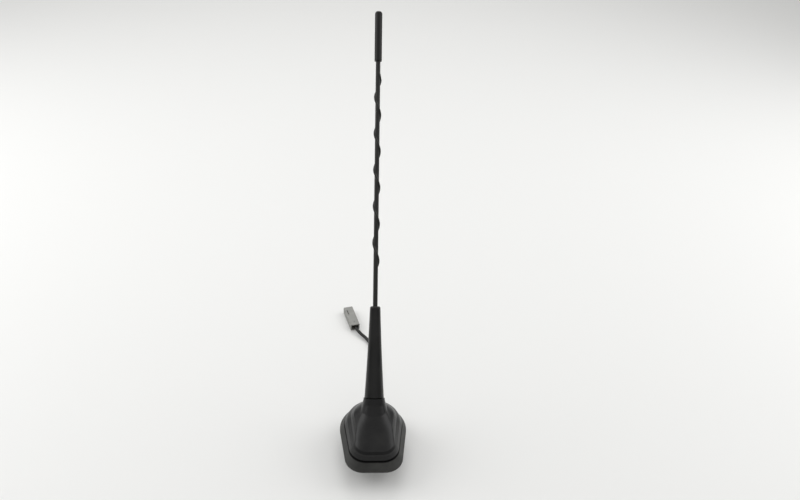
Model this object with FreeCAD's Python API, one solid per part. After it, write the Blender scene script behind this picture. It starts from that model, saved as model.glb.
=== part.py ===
import FreeCAD, Part
import math
import os
from FreeCAD import Placement, Rotation, Vector

# Roof antenna of a car: a moulded base on a rubber pad, a leaning mast with a
# spiral bead that screws into the base, and a short lead with a plug.
# Origin: on the axis of the roof stud, in the plane of the roof seat.
# +Z points away from the roof, +Y to the rear, where the mast leans to. Millimetres and degrees.

# Driving dimensions: fits
FIT = 0.05
SEAT_CLEARANCE = 0.3
FOOT_GAP = 0.4

# Driving dimensions: rubber pad and base outline
PAD_HEIGHT = 8.0
PAD_LIP = 1.2
PAD_FLOOR = 2.5
PAD_FRONT = -42.1
PAD_REAR = 40.0
PAD_HALF_WIDTH = 31.5
PAD_RIM = 3.0
FRONT_SHARE = 0.85
CORNER_SHARE = 0.69
PAD_CORNER_SHARE = 0.63
SLOPE_FRONT_SHARE = 0.9
SLOPE_CORNER_SHARE = 0.84
NECK_FRONT_SHARE = 0.975
NECK_CORNER_SHARE = 0.92
RING_FLANK = 12.0
RING_FRONT = 16.0

# Driving dimensions: moulded cover, each level from the seam with the pad upwards
COVER_WALL = 2.2
COLLAR_RADIUS = 9.8
SEAM_GROOVE_HEIGHT = 0.7
SEAM_GROOVE_DEPTH = 0.8
SEAM_FRONT = -36.3
SEAM_REAR = 35.5
SEAM_HALF_WIDTH = 27.2
WALL_FRONT = -35.5
WALL_FRONT_RISE = 6.0
WALL_REAR = 33.2
WALL_REAR_RISE = 6.0
WALL_HALF_WIDTH = 24.8
BROW_FRONT = -33.9
BROW_FRONT_RISE = 10.4
BROW_REAR = 30.0
BROW_REAR_RISE = 9.6
BROW_HALF_WIDTH = 21.6
SLOPE_FRONT = -20.0
SLOPE_FRONT_RISE = 16.0
SLOPE_REAR = 25.0
SLOPE_REAR_RISE = 14.8
SLOPE_HALF_WIDTH = 18.6
NECK_FRONT = -4.0
NECK_FRONT_RISE = 23.2
NECK_REAR = 23.6
NECK_REAR_RISE = 19.0
NECK_HALF_WIDTH = 12.0

# Driving dimensions: mast
MAST_LEAN = 38.0
FOOT_Y = 15.7
FOOT_RISE = 28.0
MAST_LENGTH = 366.0
BOOT_LENGTH = 85.0
BOOT_FOOT_RADIUS = 9.05
BOOT_WAIST_RADIUS = 6.65
BOOT_TOP_RADIUS = 4.95
BOOT_TOP_ROUND = 1.7
BOOT_FOOT_ROUND = 0.4
ROUND_STEPS = 3
CORE_RADIUS = 1.3
SLEEVE_RADIUS = 2.2
SLEEVE_GRIP = 8.0
BEAD_HEIGHT = 1.35
BEAD_SINK = 0.6
BEAD_FOOT_HALF = 1.4
BEAD_CREST_HALF = 0.85
BEAD_CROWN = 0.4
BEAD_PITCH = 34.6
BEAD_START = 117.0
BEAD_END = 308.0
BEAD_RUN_OUT = 9.0
BEAD_STEP = 0.04
BEAD_RIGHT_SIDE = 127.3
TIP_LENGTH = 48.0
TIP_RADIUS = 3.5
TIP_ROUND = 2.2
TIP_END_WALL = 6.0

# Driving dimensions: threaded ferrule, socket and seal
THREAD_RADIUS = 2.5
THREAD_LENGTH = 10.0
FERRULE_RADIUS = 3.6
FERRULE_LENGTH = 46.0
FERRULE_FLANGE_RADIUS = 6.4
FERRULE_FLANGE = 2.0
ROD_SEAT = 16.0
SOCKET_RADIUS = 4.5
SOCKET_LENGTH = 12.0
SOCKET_FLANGE_RADIUS = 5.6
SOCKET_FLANGE = 1.2
COLLAR_WALL = 2.2
SEAL_RADIUS = 7.0
SEAL_BORE = 3.4
SEAL_THICKNESS = 1.6

# Driving dimensions: die-cast plate, stud, clip and gland
PLATE_THICKNESS = 4.0
ROOF_BOSS_RADIUS = 7.5
ROOF_BOSS_DEPTH = 5.0
STUD_RADIUS = 4.0
STUD_KNURL_RADIUS = 4.3
STUD_HEAD_RADIUS = 6.5
STUD_HEAD = 2.5
STUD_END = 18.0
STUD_CHAMFER = 1.0
CLIP_THICKNESS = 0.8
CLIP_LENGTH = 12.0
CLIP_HALF_SPAN = 8.6
CLIP_CLAW_REACH = 2.4
CLIP_CLAW_RISE = 2.8
CLIP_HOLE_RADIUS = 5.2
GLAND_Y = 20.0
GLAND_RADIUS = 3.45
GLAND_FLANGE_RADIUS = 4.3
GLAND_FLANGE = 1.2
GLAND_TAIL = 3.5
GLAND_TAIL_RADIUS = 2.6
SCREW_RADIUS = 1.25
SCREW_HEAD_RADIUS = 2.4
SCREW_HEAD = 1.6
SCREW_BITE = 7.0
COVER_BOSS_RADIUS = 3.0
COVER_BOSS_FRONT = (15.4, -20.0)
COVER_BOSS_REAR = (18.0, 16.0)

# Driving dimensions: amplifier
POST_RADIUS = 2.2
POST_HEIGHT = 4.0
POST_HALF_SPAN = 9.0
POST_FRONT = -24.0
POST_REAR = 24.0
BOARD_THICKNESS = 1.6
BOARD_MARGIN = 3.0
BOARD_SCREW_BITE = 4.0
CAN_HALF_WIDTH = 9.5
CAN_FRONT = -19.0
CAN_REAR = 1.0
CAN_HEIGHT = 5.0
CAN_WALL = 0.4
BLADE_THICKNESS = 0.4
BLADE_WIDTH = 4.0
BLADE_TAB = 5.0
BLADE_FOOT = 6.0
CHIP_HEIGHT = 1.4
COIL_RADIUS = 2.0
COIL_HEIGHT = 3.2

# Driving dimensions: lead and plug
CABLE_RADIUS = 1.8
BRAID_RADIUS = 1.2
CONDUCTOR_RADIUS = 0.45
CONDUCTOR_STAND = 0.8
LEAD_BOW = 5.5
LEAD_REACH = 6.0
LEAD_FALL = 2.8
LEAD_LANDING = 3.2
LEAD_TOUCH = 9.0
PLUG_X = -16.0
PLUG_Y = 171.9
PLUG_TURN = 15.0
PLUG_WIDTH = 10.4
PLUG_HEIGHT = 7.6
PLUG_LENGTH = 32.0
PLUG_ROUND = 0.6
PLUG_WALL = 1.1
PLUG_MOUTH_DEPTH = 11.0
PLUG_RECESS_DEPTH = 6.0
PLUG_LATCH_SLOT_WIDTH = 0.9
PLUG_LATCH_SLOT_LENGTH = 9.0
PLUG_LATCH_SLOT_OFFSET = 2.6
PLUG_PEEP_RADIUS = 0.65
CONTACT_RADIUS = 2.3
CONTACT_WALL = 0.35
CONTACT_PIN_RADIUS = 0.5
RETAINER_LENGTH = 2.4
CRIMP_WALL = 0.35
CRIMP_LENGTH = 6.0

# Places worked out from the driving dimensions
FLOOR_Z = -STUD_END
PLATE_TOP = PAD_FLOOR + PLATE_THICKNESS
BOARD_UNDERSIDE = PLATE_TOP + POST_HEIGHT
BOARD_TOP = BOARD_UNDERSIDE + BOARD_THICKNESS
GLAND_END_Z = -ROOF_BOSS_DEPTH - GLAND_FLANGE - GLAND_TAIL
FOOT_POINT = Vector(0, FOOT_Y, PAD_HEIGHT + FOOT_RISE)
MAST_PLACEMENT = Placement(FOOT_POINT, Rotation(Vector(1, 0, 0), -MAST_LEAN))
UP = Vector(0, 0, 1)


def save(shape, node):
    """Write one piece as its own STEP file."""
    shape.exportStep("parts/" + node + ".step")


def turned(corners):
    """Solid of revolution about Z from (radius, height) corners."""
    points = [Vector(radius, 0, height) for radius, height in corners]
    face = Part.Face(Part.makePolygon(points + points[:1]))
    return face.revolve(Vector(0, 0, 0), UP, 360)


def quarter_round(radius, height, size):
    """Corners of a rounded upper rim, in even steps."""
    turns = [math.pi / 2 * step / ROUND_STEPS for step in range(ROUND_STEPS + 1)]
    return [(radius - size + size * math.cos(turn), height - size + size * math.sin(turn)) for turn in turns]


def rod(radius, low, high, x=0.0, y=0.0):
    """Upright cylinder between two heights."""
    return Part.makeCylinder(radius, high - low, Vector(x, y, low))


def block(low, high):
    """Box between two corners."""
    size = Vector(*high) - Vector(*low)
    return Part.makeBox(size.x, size.y, size.z, Vector(*low))


def on_mast(shape):
    """Set a piece that was built along Z on the leaning mast, with its zero at the boot's foot."""
    placed = shape.copy()
    placed.Placement = MAST_PLACEMENT
    return placed


def strip(path, thickness, width, along):
    """Bent sheet-metal strip of even thickness: its middle line, and the axis that it is wide along."""
    sides = []
    for turn in (90, -90):
        side = []
        for i, point in enumerate(path):
            before = (point - path[i - 1]).normalize() if i else None
            after = (path[i + 1] - point).normalize() if i + 1 < len(path) else None
            before = before or after
            after = after or before
            middle = (before + after).normalize()
            reach = thickness / 2 / middle.dot(after)
            side.append(point + Rotation(along, turn).multVec(middle) * reach)
        sides.append(side)
    corners = sides[0] + sides[1][::-1]
    face = Part.Face(Part.makePolygon(corners + corners[:1]))
    face.translate(along * (-width / 2))
    return face.extrude(along * width)


def outline(front, rear, half_width, front_share=FRONT_SHARE, corner_share=CORNER_SHARE, inset=0.0):
    """Outline between a front and a rear (y, z) point: round rear, straight flanks and round front corners.

    front_share is the front edge's part of the width and corner_share the corner's part of that edge.
    """
    start = Vector(0, front[0], front[1])
    span = Vector(0, rear[0], rear[1]) - start
    length = span.Length
    ahead = span / length
    across = Vector(1, 0, 0)
    corner = half_width * front_share * corner_share
    corner_x = half_width * front_share - corner
    reach = length - half_width - corner
    distance = math.hypot(corner_x, reach)
    normal = math.asin((corner - half_width) / distance) + math.atan2(corner_x, reach)
    halves = []
    for side in (-1, 1):
        rear_centre = start + ahead * (length - half_width)
        corner_centre = start + ahead * corner + across * (side * corner_x)
        out = across * (side * math.cos(normal)) + ahead * math.sin(normal)
        bend = (out - ahead).normalize()
        halves.append((
            rear_centre + out * (half_width - inset),
            corner_centre + out * (corner - inset),
            corner_centre + bend * (corner - inset),
            corner_centre - ahead * (corner - inset),
        ))
    left, right = halves
    edges = [
        Part.Arc(right[0], start + ahead * (length - inset), left[0]),
        Part.LineSegment(left[0], left[1]),
        Part.Arc(left[1], left[2], left[3]),
        Part.LineSegment(left[3], right[3]),
        Part.Arc(right[3], right[2], right[1]),
        Part.LineSegment(right[1], right[0]),
    ]
    return Part.Wire([edge.toShape() for edge in edges])


def ring_outline(front, rear):
    """Circle between a front and a rear (y, z) point, cut into as many edges as the outlines have."""
    low = Vector(0, front[0], front[1])
    high = Vector(0, rear[0], rear[1])
    centre = (low + high) / 2
    ahead = (high - low) / 2
    across = Vector(ahead.Length, 0, 0)
    cuts = [0, 180, 180 + RING_FLANK, 270 - RING_FRONT / 2, 270 + RING_FRONT / 2, 360 - RING_FLANK, 360]
    edges = []
    for first, last in zip(cuts, cuts[1:]):
        turns = [math.radians(turn) for turn in (first, (first + last) / 2, last)]
        points = [centre + across * math.cos(turn) + ahead * math.sin(turn) for turn in turns]
        edges.append(Part.Arc(*points).toShape())
    return Part.Wire(edges)


def seam_outline(height, inset=0.0):
    """Outline of the seam between cover and pad, moved inwards and set at a height."""
    return outline((SEAM_FRONT, height), (SEAM_REAR, height), SEAM_HALF_WIDTH, inset=inset)


def slab(wire, height):
    """Solid of a flat outline, pulled upwards."""
    return Part.Face(wire).extrude(UP * height)


def cover_levels():
    """Measures of the cover's outline at each level, from the seam up to the neck."""
    low = PAD_HEIGHT + SEAM_GROOVE_HEIGHT
    base = PAD_HEIGHT
    return [
        (SEAM_FRONT, low, SEAM_REAR, low, SEAM_HALF_WIDTH, FRONT_SHARE, CORNER_SHARE),
        (WALL_FRONT, base + WALL_FRONT_RISE, WALL_REAR, base + WALL_REAR_RISE, WALL_HALF_WIDTH,
         FRONT_SHARE, CORNER_SHARE),
        (BROW_FRONT, base + BROW_FRONT_RISE, BROW_REAR, base + BROW_REAR_RISE, BROW_HALF_WIDTH,
         FRONT_SHARE, CORNER_SHARE),
        (SLOPE_FRONT, base + SLOPE_FRONT_RISE, SLOPE_REAR, base + SLOPE_REAR_RISE, SLOPE_HALF_WIDTH,
         SLOPE_FRONT_SHARE, SLOPE_CORNER_SHARE),
        (NECK_FRONT, base + NECK_FRONT_RISE, NECK_REAR, base + NECK_REAR_RISE, NECK_HALF_WIDTH,
         NECK_FRONT_SHARE, NECK_CORNER_SHARE),
    ]


def level_outline(level, inset=0.0):
    """Outline of one level of the cover, moved inwards and down by the wall for the hollow."""
    front_y, front_z, rear_y, rear_z, half_width, front_share, corner_share = level
    return outline((front_y, front_z - inset), (rear_y, rear_z - inset), half_width, front_share, corner_share, inset)


def collar_edges():
    """Front and rear (y, z) points of the cover's round upper edge, just below the mast's foot."""
    lean = math.radians(MAST_LEAN)
    middle = FOOT_POINT - Vector(0, math.sin(lean), math.cos(lean)) * FOOT_GAP
    reach = Vector(0, math.cos(lean), -math.sin(lean)) * COLLAR_RADIUS
    return [(point.y, point.z) for point in (middle - reach, middle + reach)]


def make_cover_form():
    """The cover's outer form: named levels with one more between each two, on a smooth curve through them."""
    front, rear = collar_edges()
    levels = cover_levels()
    collar = (*front, *rear, COLLAR_RADIUS, 1.0, 1.0)
    ladder = levels[:1] + levels + [collar, collar]
    wires = []
    for i, level in enumerate(levels):
        wires.append(level_outline(level))
        before, here, after, beyond = ladder[i:i + 4]
        between = [(9 * (b + c) - a - d) / 16 for a, b, c, d in zip(before, here, after, beyond)]
        wires.append(level_outline(between))
    wires.append(ring_outline(front, rear))
    return Part.makeLoft(wires, True, True)


def make_cover_hollow():
    """The cover's hollow, one wall inside its levels below the neck."""
    levels = cover_levels()[:-1]
    foot = level_outline(levels[0], COVER_WALL)
    foot.translate(UP * COVER_WALL)
    return Part.makeLoft([foot] + [level_outline(level, COVER_WALL) for level in levels[1:]], True, True)


def make_base_pad():
    """Rubber pad: a flared skirt with a lip, a tray for the plate and a hole for the roof boss."""
    foot = outline((PAD_FRONT, 0), (PAD_REAR, 0), PAD_HALF_WIDTH, FRONT_SHARE, PAD_CORNER_SHARE)
    lip = foot.copy()
    lip.translate(UP * PAD_LIP)
    skirt = Part.makeLoft([lip, seam_outline(PAD_HEIGHT)], True, True)
    pad = slab(foot, PAD_LIP).fuse(skirt)
    tray = slab(seam_outline(PAD_FLOOR, PAD_RIM), PAD_HEIGHT)
    hole = roof_boss(ROOF_BOSS_RADIUS + SEAT_CLEARANCE, -PAD_HEIGHT, PAD_HEIGHT)
    return pad.cut(tray).cut(hole).removeSplitter()


def roof_boss(radius, low, high):
    """Oblong column round the stud and the gland."""
    ends = rod(radius, low, high).fuse(rod(radius, low, high, 0, GLAND_Y))
    return ends.fuse(block((-radius, 0, low), (radius, GLAND_Y, high))).removeSplitter()


def screw_places():
    """Middles of the four cover screws."""
    return [(side * x, y) for x, y in (COVER_BOSS_FRONT, COVER_BOSS_REAR) for side in (-1, 1)]


def post_places():
    """Middles of the four board posts."""
    return [(side * POST_HALF_SPAN, y) for y in (POST_FRONT, POST_REAR) for side in (-1, 1)]


def make_base_plate():
    """Die-cast plate with the roof boss, the board's posts and the holes for stud, gland and screws."""
    plate = slab(seam_outline(PAD_FLOOR, PAD_RIM + FIT), PLATE_THICKNESS)
    plate = plate.fuse(roof_boss(ROOF_BOSS_RADIUS, -ROOF_BOSS_DEPTH, PAD_FLOOR + PLATE_THICKNESS / 2))
    for x, y in post_places():
        post = rod(POST_RADIUS, PLATE_TOP - FIT, BOARD_UNDERSIDE, x, y)
        plate = plate.fuse(post)
    plate = plate.removeSplitter()
    for x, y in post_places():
        plate = plate.cut(rod(SCREW_RADIUS + FIT, BOARD_UNDERSIDE - BOARD_SCREW_BITE, BOARD_TOP, x, y))
    for x, y in screw_places():
        plate = plate.cut(rod(SCREW_RADIUS + SEAT_CLEARANCE, -PAD_HEIGHT, BOARD_TOP, x, y))
        plate = plate.cut(rod(SCREW_HEAD_RADIUS + SEAT_CLEARANCE, -PAD_HEIGHT, PAD_FLOOR + SCREW_HEAD, x, y))
    plate = plate.cut(rod(STUD_KNURL_RADIUS + FIT, FLOOR_Z, BOARD_TOP))
    return plate.cut(rod(GLAND_RADIUS + FIT, FLOOR_Z, BOARD_TOP, 0, GLAND_Y))


def make_roof_stud():
    """Stud with a flat head on the plate, a knurled shank in the boss and a chamfered end."""
    return turned([
        (0, PLATE_TOP + STUD_HEAD),
        (STUD_HEAD_RADIUS, PLATE_TOP + STUD_HEAD),
        (STUD_HEAD_RADIUS, PLATE_TOP),
        (STUD_KNURL_RADIUS, PLATE_TOP),
        (STUD_KNURL_RADIUS, -ROOF_BOSS_DEPTH),
        (STUD_RADIUS, -ROOF_BOSS_DEPTH),
        (STUD_RADIUS, FLOOR_Z + STUD_CHAMFER),
        (STUD_RADIUS - STUD_CHAMFER, FLOOR_Z),
        (0, FLOOR_Z),
    ])


def make_retaining_clip():
    """Spring clip under the boss with a claw on each side, round the stud."""
    middle = -ROOF_BOSS_DEPTH - CLIP_THICKNESS / 2
    tip = CLIP_HALF_SPAN + CLIP_CLAW_REACH
    path = [
        Vector(-tip, 0, middle + CLIP_CLAW_RISE),
        Vector(-CLIP_HALF_SPAN, 0, middle),
        Vector(CLIP_HALF_SPAN, 0, middle),
        Vector(tip, 0, middle + CLIP_CLAW_RISE),
    ]
    clip = strip(path, CLIP_THICKNESS, CLIP_LENGTH, Vector(0, 1, 0))
    return clip.cut(rod(CLIP_HOLE_RADIUS, FLOOR_Z, 0))


def make_cable_gland():
    """Rubber grommet: two flanges that hold it in the boss and a tapered tail round the lead."""
    bore = CABLE_RADIUS + FIT
    gland = turned([
        (bore, PLATE_TOP + GLAND_FLANGE),
        (GLAND_FLANGE_RADIUS, PLATE_TOP + GLAND_FLANGE),
        (GLAND_FLANGE_RADIUS, PLATE_TOP),
        (GLAND_RADIUS, PLATE_TOP),
        (GLAND_RADIUS, -ROOF_BOSS_DEPTH),
        (GLAND_FLANGE_RADIUS, -ROOF_BOSS_DEPTH),
        (GLAND_FLANGE_RADIUS, -ROOF_BOSS_DEPTH - GLAND_FLANGE),
        (GLAND_RADIUS, -ROOF_BOSS_DEPTH - GLAND_FLANGE),
        (GLAND_TAIL_RADIUS, GLAND_END_Z),
        (bore, GLAND_END_Z),
    ])
    gland.translate(Vector(0, GLAND_Y, 0))
    return gland


def make_cover_screws():
    """Four pan-head screws that hold the cover from below."""
    screws = []
    for x, y in screw_places():
        head = rod(SCREW_HEAD_RADIUS, PAD_FLOOR, PAD_FLOOR + SCREW_HEAD, x, y)
        shank = rod(SCREW_RADIUS, PAD_FLOOR + SCREW_HEAD - FIT, PLATE_TOP + SCREW_BITE, x, y)
        screws.append(head.fuse(shank).removeSplitter())
    return Part.makeCompound(screws)


def make_amplifier_board():
    """Circuit board on the posts, with holes for its screws and for the lead's conductor."""
    half = POST_HALF_SPAN + BOARD_MARGIN
    board = block((-half, POST_FRONT - BOARD_MARGIN, BOARD_UNDERSIDE), (half, POST_REAR + BOARD_MARGIN, BOARD_TOP))
    corners = [edge for edge in board.Edges if abs(edge.tangentAt(edge.FirstParameter).z) > 0.9]
    board = board.makeFillet(POST_RADIUS, corners)
    for x, y in post_places():
        board = board.cut(rod(SCREW_RADIUS + FIT, BOARD_UNDERSIDE - FIT, BOARD_TOP + FIT, x, y))
    return board.cut(rod(CONDUCTOR_RADIUS + FIT, BOARD_UNDERSIDE - FIT, BOARD_TOP + FIT, 0, GLAND_Y))


def make_board_screws():
    """Four screws through the board into the posts."""
    screws = []
    for x, y in post_places():
        head = rod(SCREW_HEAD_RADIUS, BOARD_TOP, BOARD_TOP + SCREW_HEAD, x, y)
        shank = rod(SCREW_RADIUS, BOARD_UNDERSIDE - BOARD_SCREW_BITE + FIT, BOARD_TOP + FIT, x, y)
        screws.append(head.fuse(shank).removeSplitter())
    return Part.makeCompound(screws)


def make_shield_can():
    """Folded sheet-metal can, open to the board."""
    top = BOARD_TOP + CAN_HEIGHT
    outer = block((-CAN_HALF_WIDTH, CAN_FRONT, BOARD_TOP), (CAN_HALF_WIDTH, CAN_REAR, top))
    inner = block((CAN_WALL - CAN_HALF_WIDTH, CAN_FRONT + CAN_WALL, BOARD_TOP),
                  (CAN_HALF_WIDTH - CAN_WALL, CAN_REAR - CAN_WALL, top - CAN_WALL))
    return outer.cut(inner)


def make_board_components():
    """Filter coils and chips on the board behind the can."""
    pieces = []
    row = POST_REAR - BOARD_MARGIN - 2 * SCREW_HEAD_RADIUS
    for side in (-1, 1):
        coil = rod(COIL_RADIUS, BOARD_TOP, BOARD_TOP + COIL_HEIGHT, side * POST_HALF_SPAN, row)
        pieces.append(coil)
        chip_x = side * (POST_HALF_SPAN - COIL_RADIUS)
        chip_y = row - 3 * COIL_RADIUS
        low = (chip_x - COIL_RADIUS, chip_y - COIL_RADIUS, BOARD_TOP)
        high = (chip_x + COIL_RADIUS, chip_y + COIL_RADIUS / 2, BOARD_TOP + CHIP_HEIGHT)
        pieces.append(block(low, high))
    return Part.makeCompound(pieces)


def make_contact_blade():
    """Bent spring contact from the board up to the socket's lower face."""
    lean = math.radians(MAST_LEAN)
    axis = Vector(0, math.sin(lean), math.cos(lean))
    down = Vector(0, math.cos(lean), -math.sin(lean))
    face = FOOT_POINT - axis * (SEAL_THICKNESS + SOCKET_LENGTH + BLADE_THICKNESS / 2)
    bend = face + down * (BLADE_TAB / 2)
    foot_z = BOARD_TOP + BLADE_THICKNESS / 2
    path = [
        Vector(0, bend.y - BLADE_FOOT, foot_z),
        Vector(0, bend.y, foot_z),
        bend,
        face - down * (BLADE_TAB / 2),
    ]
    return strip(path, BLADE_THICKNESS, BLADE_WIDTH, Vector(1, 0, 0))


def make_cable_inner_end():
    """Stripped end of the lead: jacket in the gland, braid above it and the conductor in the board."""
    jacket_top = PLATE_TOP + GLAND_FLANGE
    end = turned([
        (0, GLAND_END_Z),
        (CABLE_RADIUS, GLAND_END_Z),
        (CABLE_RADIUS, jacket_top),
        (BRAID_RADIUS, jacket_top),
        (BRAID_RADIUS, BOARD_UNDERSIDE - CONDUCTOR_STAND),
        (CONDUCTOR_RADIUS, BOARD_UNDERSIDE - CONDUCTOR_STAND),
        (CONDUCTOR_RADIUS, BOARD_TOP + CONDUCTOR_STAND),
        (0, BOARD_TOP + CONDUCTOR_STAND),
    ])
    end.translate(Vector(0, GLAND_Y, 0))
    return end


def make_base_cover():
    """Moulded cover: steep walls, a brow, and a slope that flares up into the mast's neck."""
    hollow = make_cover_hollow()
    for x, y in screw_places():
        hollow = hollow.cut(rod(COVER_BOSS_RADIUS, 0, FOOT_POINT.z, x, y))
    collar = on_mast(rod(SOCKET_RADIUS + COLLAR_WALL, -SEAL_THICKNESS - SOCKET_LENGTH, 0))
    cover = make_cover_form().cut(hollow.cut(collar))
    tongue = slab(seam_outline(PAD_HEIGHT, SEAM_GROOVE_DEPTH), SEAM_GROOVE_HEIGHT)
    tongue = tongue.cut(slab(seam_outline(PAD_HEIGHT, COVER_WALL), SEAM_GROOVE_HEIGHT))
    cover = cover.fuse(tongue)
    for x, y in screw_places():
        lug = rod(COVER_BOSS_RADIUS, PLATE_TOP, PAD_HEIGHT + SEAM_GROOVE_HEIGHT, x, y)
        cover = cover.fuse(lug)
    for x, y in screw_places():
        cover = cover.cut(rod(SCREW_RADIUS + FIT, 0, PLATE_TOP + SCREW_BITE + SCREW_RADIUS, x, y))
    flange_low = -SEAL_THICKNESS - SOCKET_FLANGE
    seat = rod(SEAL_RADIUS + FIT, -SEAL_THICKNESS, FOOT_GAP)
    seat = seat.fuse(rod(SOCKET_FLANGE_RADIUS + FIT, flange_low, FOOT_GAP))
    seat = seat.fuse(rod(SOCKET_RADIUS + FIT, -SEAL_THICKNESS - 2 * SOCKET_LENGTH, FOOT_GAP))
    return cover.cut(on_mast(seat.removeSplitter()))


def make_mast_socket():
    """Turned brass insert with the mast's thread, flush in the neck under the seal."""
    top = -SEAL_THICKNESS
    bore = THREAD_RADIUS + FIT
    floor = -THREAD_LENGTH - FOOT_GAP
    return on_mast(turned([
        (0, top - SOCKET_LENGTH),
        (SOCKET_RADIUS, top - SOCKET_LENGTH),
        (SOCKET_RADIUS, top - SOCKET_FLANGE),
        (SOCKET_FLANGE_RADIUS, top - SOCKET_FLANGE),
        (SOCKET_FLANGE_RADIUS, top),
        (bore, top),
        (bore, floor),
        (0, floor),
    ]))


def make_mast_seal():
    """Flat rubber ring between the neck and the mast's foot."""
    ring = rod(SEAL_RADIUS, -SEAL_THICKNESS, 0)
    return on_mast(ring.cut(rod(SEAL_BORE, -SEAL_THICKNESS, 0)))


def make_mast_boot():
    """Rubber boot: a hollow-sided taper over the ferrule, rounded at its top."""
    foot = Vector(BOOT_FOOT_RADIUS, 0, BOOT_FOOT_ROUND)
    waist = Vector(BOOT_WAIST_RADIUS, 0, BOOT_LENGTH / 2)
    rim = [Vector(radius, 0, height) for radius, height in quarter_round(BOOT_TOP_RADIUS, BOOT_LENGTH, BOOT_TOP_ROUND)]
    lower_rim = Vector(BOOT_FOOT_RADIUS - BOOT_FOOT_ROUND, 0, 0)
    ends = Part.makePolygon(rim + [Vector(0, 0, BOOT_LENGTH), Vector(0, 0, 0), lower_rim, foot])
    flank = Part.Arc(foot, waist, rim[0]).toShape()
    boot = Part.Face(Part.Wire(ends.Edges + [flank])).revolve(Vector(0, 0, 0), UP, 360)
    hollow = rod(FERRULE_FLANGE_RADIUS + FIT, 0, FERRULE_FLANGE)
    hollow = hollow.fuse(rod(FERRULE_RADIUS + FIT, 0, FERRULE_LENGTH))
    hollow = hollow.fuse(rod(CORE_RADIUS + FIT, 0, BOOT_LENGTH))
    hollow = hollow.fuse(rod(SLEEVE_RADIUS + FIT, BOOT_LENGTH - SLEEVE_GRIP, BOOT_LENGTH))
    return on_mast(boot.cut(hollow.removeSplitter()))


def make_mast_ferrule():
    """Turned ferrule: thread below the foot, flange in the boot and a bore that grips the rod."""
    bore = CORE_RADIUS + FIT
    return on_mast(turned([
        (0, -THREAD_LENGTH),
        (THREAD_RADIUS, -THREAD_LENGTH),
        (THREAD_RADIUS, 0),
        (FERRULE_FLANGE_RADIUS, 0),
        (FERRULE_FLANGE_RADIUS, FERRULE_FLANGE),
        (FERRULE_RADIUS, FERRULE_FLANGE),
        (FERRULE_RADIUS, FERRULE_LENGTH),
        (bore, FERRULE_LENGTH),
        (bore, ROD_SEAT),
        (0, ROD_SEAT),
    ]))


def make_mast_core():
    """Glass-fibre rod from the ferrule up into the tip."""
    return on_mast(rod(CORE_RADIUS, ROD_SEAT, MAST_LENGTH - TIP_END_WALL))


def make_bead(height):
    """Left-handed spiral ridge: two flanks and a round crest, with its foot sunk into the sleeve."""
    crest = SLEEVE_RADIUS + BEAD_HEIGHT
    root = Vector(SLEEVE_RADIUS - BEAD_SINK, BEAD_FOOT_HALF, 0)
    brim = Vector(crest - BEAD_CROWN, BEAD_CREST_HALF, 0)
    other_root = Vector(root.x, -root.y, 0)
    other_brim = Vector(brim.x, -brim.y, 0)
    edges = [
        Part.LineSegment(root, brim),
        Part.Arc(brim, Vector(crest, 0, 0), other_brim),
        Part.LineSegment(other_brim, other_root),
        Part.LineSegment(other_root, root),
    ]
    section = Part.Wire([edge.toShape() for edge in edges])
    spine = Part.Wire(Part.LineSegment(Vector(0, 0, 0), Vector(0, 0, height)).toShape())
    guide = Part.makeHelix(BEAD_PITCH, height, SLEEVE_RADIUS, 0, True)
    sweep = Part.BRepOffsetAPI.MakePipeShell(spine)
    sweep.setAuxiliarySpine(Part.Wire(guide), True, 0)
    sweep.add(section)
    sweep.build()
    sweep.makeSolid()
    return sweep.shape()


def make_mast_sleeve():
    """Black sleeve with a spiral bead that runs out into the round at both ends."""
    low = BOOT_LENGTH - SLEEVE_GRIP
    high = MAST_LENGTH - TIP_LENGTH + SLEEVE_GRIP
    height = BEAD_END - BEAD_START
    turn = 360 * (BEAD_START - BEAD_RIGHT_SIDE) / BEAD_PITCH
    full = SLEEVE_RADIUS + BEAD_HEIGHT + BEAD_STEP
    bare = SLEEVE_RADIUS + BEAD_STEP
    spindle = turned([
        (0, 0),
        (bare, 0),
        (full, BEAD_RUN_OUT),
        (full, height - BEAD_RUN_OUT),
        (bare, height),
        (0, height),
    ])
    beaded = make_bead(height).common(spindle)
    beaded.rotate(Vector(0, 0, 0), UP, -turn)
    beaded.translate(UP * BEAD_START)
    sleeve = rod(SLEEVE_RADIUS, low, high).fuse(beaded)
    return on_mast(sleeve.cut(rod(CORE_RADIUS + FIT, 0, MAST_LENGTH)))


def make_tip_cap():
    """Moulded tip: a thicker round end over the rod and the sleeve."""
    low = MAST_LENGTH - TIP_LENGTH
    rim = quarter_round(TIP_RADIUS, MAST_LENGTH, TIP_ROUND)
    cap = turned([(0, low), (TIP_RADIUS, low)] + rim + [(0, MAST_LENGTH)])
    bore = rod(CORE_RADIUS + FIT, low, MAST_LENGTH - TIP_END_WALL)
    bore = bore.fuse(rod(SLEEVE_RADIUS + FIT, low, low + SLEEVE_GRIP))
    return on_mast(cap.cut(bore.removeSplitter()))


def plug_placement():
    """Where the plug lies on the floor, turned from the mast's plane."""
    return Placement(Vector(PLUG_X, PLUG_Y, FLOOR_Z), Rotation(UP, PLUG_TURN))


def plug_local(shape):
    """Set a plug piece, built along +Y from the cable end with its underside at zero, on the floor."""
    placed = shape.copy()
    placed.Placement = plug_placement()
    return placed


def lying_rod(radius, start, end):
    """Cylinder along the plug's axis."""
    return Part.makeCylinder(radius, end - start, Vector(0, start, PLUG_HEIGHT / 2), Vector(0, 1, 0))


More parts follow.
